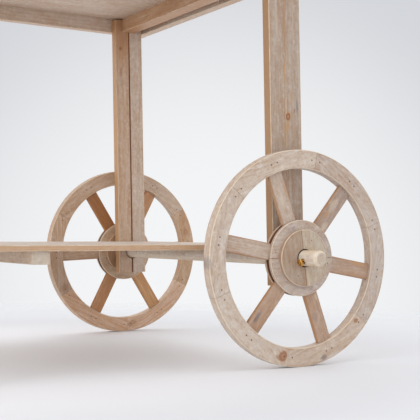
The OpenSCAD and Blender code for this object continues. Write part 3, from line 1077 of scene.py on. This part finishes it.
class CART_OT_screws(bpy.types.Operator):
    """Replaces the frame's screws by ones with a cross in the head"""

    bl_idname = "cart.screws"
    bl_label = "Frame Screws"

    def execute(self, context):
        look = context.scene.cart_metal
        zinc = metal("zinc_plate", look.zinc, look.zinc_dark, 0.32)
        shape = bmesh.new()
        for corners in islands("frame_screws"):
            head, out, length = driven(corners, Vector((0, 0, (corners[0].z + corners[1].z) / 2)))
            radius = sorted(corners[1] - corners[0])[1] / 2
            self.screw(shape, head, out, length, radius * SLIM)
        made = piece("frame_screw_set", shape, "frame", zinc)
        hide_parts("frame_screws")
        return {"FINISHED"}

    def screw(self, shape, head, out, length, radius):
        cross = self.cross(shape, radius * CROSS_REACH, radius * CROSS_HALF)
        outline = bmesh.ops.create_circle(shape, segments=24, radius=radius)["verts"]
        rim = loop_edges(outline)
        bmesh.ops.bridge_loops(shape, edges=rim + cross)
        made = list(outline) + ends(cross)
        edges = rim
        for rise, scale in ((-SCREW_RIM, 1.0), (-SCREW_CONE, 0.54),
                            (SCREW_HEAD - length * 0.9, 1.0), (-length * 0.1, 0.15)):
            edges = ring_up(shape, edges, rise, scale)
            made += ends(edges)
        bmesh.ops.contextual_create(shape, geom=edges)
        floor = ring_up(shape, cross, -SCREW_RECESS, 0.6)
        made += ends(floor)
        bmesh.ops.contextual_create(shape, geom=floor)
        stand(list(dict.fromkeys(made)), shape, head, out)

    def cross(self, shape, reach, half):
        """Closed outline of a cross recess, as edges."""
        corner = ((reach, -half), (reach, half), (half, half))
        vertices = []
        for quarter in range(4):
            turn = Matrix.Rotation(math.radians(90 * quarter), 3, "Z")
            for x, y in corner:
                vertices.append(shape.verts.new(turn @ Vector((x, y, 0))))
        return [
            shape.edges.new((vertices[i], vertices[(i + 1) % len(vertices)]))
            for i in range(len(vertices))
        ]


class CART_OT_retainers(bpy.types.Operator):
    """Replaces the two screws that hold the wheels by ones with a thread and a plate head"""

    bl_idname = "cart.retainers"
    bl_label = "Retaining Screws"

    def execute(self, context):
        look = context.scene.cart_metal
        zinc = metal("retainer_zinc", look.zinc, look.zinc_dark, 0.28)
        shape = bmesh.new()
        for low, high in islands("axle_screws"):
            tilt = math.radians(look.retainer_tilt)
            out = Vector((math.cos(tilt), 0, -math.sin(tilt)))
            head_radius = (high.y - low.y) / 2
            size = high - low
            length = (size.x - 2 * head_radius * math.sin(tilt)) / math.cos(tilt)
            length = max(length, SHORTEST_RETAINER)
            head = Vector((
                high.x - head_radius * math.sin(tilt), (low.y + high.y) / 2,
                low.z + head_radius * math.cos(tilt),
            ))
            self.retainer(shape, head, out, length, head_radius, look)
        made = piece("axle_retaining_screws", shape, "frame", zinc)
        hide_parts("axle_screws")
        return {"FINISHED"}

    def retainer(self, shape, head, out, length, head_radius, look):
        made = turned_shape(shape, (
            (head_radius * 0.30, -0.0014), (head_radius * 0.34, -0.0001),
            (head_radius * 0.62, -0.0002), (head_radius * 0.82, -0.0010),
            (head_radius, -0.0018), (head_radius, -0.0018 - PLATE),
            (head_radius * 0.55, -0.0022 - PLATE), (CORE, -0.0030 - PLATE),
            (CORE, -length + POINT), (0.0006, -length),
        ), 36)
        before = set(shape.verts)
        pitch = look.pitch
        start = -length + POINT
        ridge = [
            shape.verts.new(Vector((RIDGE_FOOT, 0, start))),
            shape.verts.new(Vector((RIDGE_TOP, 0, start + pitch * 0.28))),
            shape.verts.new(Vector((RIDGE_FOOT, 0, start + pitch * 0.56))),
        ]
        profile = shape.faces.new(ridge)
        turns = (length - POINT - NECK) / pitch - 0.5
        steps = round(turns * TURN_STEPS)
        bmesh.ops.spin(
            shape, geom=[profile, *profile.edges, *profile.verts], cent=(0, 0, 0), axis=(0, 0, 1),
            dvec=(0, 0, pitch * turns / steps), angle=math.tau * turns, steps=steps,
            use_merge=False, use_duplicate=False,
        )
        made += [vertex for vertex in shape.verts if vertex not in before]
        stand(made, shape, head, out)


# ---- stage


class CART_OT_stage(bpy.types.Operator):
    """Sets the floor, the backdrop, the lights and the camera"""

    bl_idname = "cart.stage"
    bl_label = "Stage"

    def execute(self, context):
        stage = context.scene.cart_stage
        self.floor(stage)
        self.backdrop(context, stage)
        self.light("Overhead", (-0.4, 0.8, 3.4), 3.2, stage.overhead, (0.0, 0.0, 0.3))
        self.light("Front", (3.2, 1.4, 1.1), 2.6, stage.front, (-0.3, 0.2, 0.3))
        self.light("Camera_side", (0.4, 4.2, 1.2), 3.0, stage.near, (-0.3, 0.0, 0.3))
        self.camera(context, stage)
        context.scene.view_settings.view_transform = "Standard"
        return {"FINISHED"}

    def floor(self, stage):
        """Floor painted lighter near the cart and darker away from it, as painted light and shade, and
        that fades out far from the cart.
        """
        shader = Shader("studio_floor")
        spot = shader.node("ShaderNodeTexCoord").outputs["Object"]
        x, y = shader.parts(spot)[:2]
        away = (x * x + y * y).root()
        grit = shader.noise(spot, (3, 3, 3), (0, 0, 0), 3.0)
        # painted light and shade: lighter near the cart, where its shadow falls, and darker away from it
        tint = shader.mix(away.ease(0.40, 0.90), stage.floor, stage.floor_edge)
        tint = shader.mix((grit - 0.5) * 0.12, tint, (0.75, 0.75, 0.75))
        surface = shader.node(
            "ShaderNodeBsdfPrincipled", None,
            {"Base Color": tint, "Roughness": 0.7, "Specular IOR Level": 0.1},
        )
        clear = shader.node("ShaderNodeBsdfTransparent")
        blend = shader.node(
            "ShaderNodeMixShader", None,
            {0: away.ease(1.0, 1.9), 1: surface.outputs[0], 2: clear.outputs[0]},
        )
        shader.node("ShaderNodeOutputMaterial", None, {0: blend.outputs[0]})
        shape = bmesh.new()
        bmesh.ops.create_circle(shape, cap_ends=True, segments=96, radius=2.0)
        mesh_object("studio_floor", shape, shader.material)

    def backdrop(self, context, stage):
        """Backdrop behind the cart, painted brighter in its middle as a painted pool of light, and light
        from all round, stronger from behind it.
        """
        world = bpy.data.worlds.new("studio")
        context.scene.world = world
        shader = Shader("studio", world)
        around = shader.node("ShaderNodeTexCoord").outputs["Generated"]

        def toward(direction):
            made = shader.node(
                "ShaderNodeVectorMath", {"operation": "DOT_PRODUCT"}, {0: around, 1: direction}
            )
            return Value(shader, made.outputs["Value"])

        # the backdrop the camera sees is painted brighter near its middle and darker towards its edges,
        # a painted pool of light
        toward_glow = toward(self.ahead(stage, math.radians(-4)))
        painted_glow = toward_glow.ease(math.cos(math.radians(21)), math.cos(math.radians(0.5)))
        seen = shader.node("ShaderNodeBackground", None, {
            "Color": shader.mix(painted_glow, stage.backdrop_edge, stage.backdrop),
        })
        behind = toward(self.ahead(stage, 0)) * 0.5 + 0.5
        room = shader.node("ShaderNodeBackground", None, {
            "Color": (*stage.backdrop, 1),
            "Strength": behind * (stage.room_behind - stage.room) + stage.room,
        })
        path = shader.node("ShaderNodeLightPath")
        either = shader.node("ShaderNodeMixShader", None, {
            0: path.outputs["Is Camera Ray"], 1: room.outputs[0], 2: seen.outputs[0],
        })
        shader.node("ShaderNodeOutputWorld", None, {0: either.outputs[0]})

    def ahead(self, stage, tilt):
        """The way the camera looks, at a tilt of its own."""
        heading = stage.camera_azimuth
        return Vector((
            -math.sin(heading) * math.cos(tilt), math.cos(heading) * math.cos(tilt), math.sin(tilt),
        ))

    def light(self, name, place, size, watts, target):
        """Round soft light at a place, pointing at a target."""
        lamp = bpy.data.lights.new(name, "AREA")
        lamp.shape = "DISK"
        lamp.size = size
        lamp.energy = watts
        made = add_object(name, lamp)
        made.location = place
        made.rotation_euler = (Vector(target) - Vector(place)).to_track_quat("-Z", "Y").to_euler()

    def camera(self, context, stage):
        """Camera at the stage's place and heading."""
        lens = bpy.data.cameras.new("Camera")
        lens.lens = stage.lens
        lens.sensor_width = 36.0
        lens.clip_end = 100.0
        made = add_object("Camera", lens)
        roll = stage.camera_roll
        ahead = self.ahead(stage, stage.camera_tilt)
        level = ahead.cross(Vector((0, 0, 1))).normalized()
        upright = level.cross(ahead)
        right = level * math.cos(roll) + upright * math.sin(roll)
        up = upright * math.cos(roll) - level * math.sin(roll)
        turned = Matrix((right, up, -ahead)).transposed().to_4x4()
        made.matrix_world = Matrix.Translation(stage.camera_place) @ turned
        context.scene.camera = made


class CART_PT_panel(bpy.types.Panel):
    """The cart's steps, in the order they are made"""

    bl_idname = "CART_PT_panel"
    bl_label = "Hand Cart"
    bl_space_type = "VIEW_3D"
    bl_region_type = "UI"
    bl_category = "Cart"

    def draw(self, context):
        for step in STEPS:
            self.layout.operator(step.bl_idname)
        for group in ("cart_wood", "cart_metal", "cart_stage"):
            settings = getattr(context.scene, group)
            column = self.layout.column()
            for name in settings.__annotations__:
                column.prop(settings, name)


STEPS = (
    CART_OT_wheels, CART_OT_hubs, CART_OT_frame, CART_OT_boards, CART_OT_bars, CART_OT_brads,
    CART_OT_screws, CART_OT_retainers, CART_OT_stage,
)
GROUPS = {"cart_wood": CartWood, "cart_metal": CartMetal, "cart_stage": CartStage}


def register():
    """Registers the settings, the steps and the panel."""
    for name, group in GROUPS.items():
        bpy.utils.register_class(group)
        setattr(bpy.types.Scene, name, bpy.props.PointerProperty(type=group))
    for step in (*STEPS, CART_PT_panel):
        bpy.utils.register_class(step)


def unregister():
    """Removes what register() added."""
    for step in reversed((*STEPS, CART_PT_panel)):
        bpy.utils.unregister_class(step)
    for name, group in GROUPS.items():
        delattr(bpy.types.Scene, name)
        bpy.utils.unregister_class(group)


def main():
    """Makes everything in order."""
    register()
    bpy.ops.cart.wheels()
    bpy.ops.cart.hubs()
    bpy.ops.cart.frame()
    bpy.ops.cart.boards()
    bpy.ops.cart.bars()
    bpy.ops.cart.brads()
    bpy.ops.cart.screws()
    bpy.ops.cart.retainers()
    bpy.ops.cart.stage()


if __name__ == "__main__":
    main()
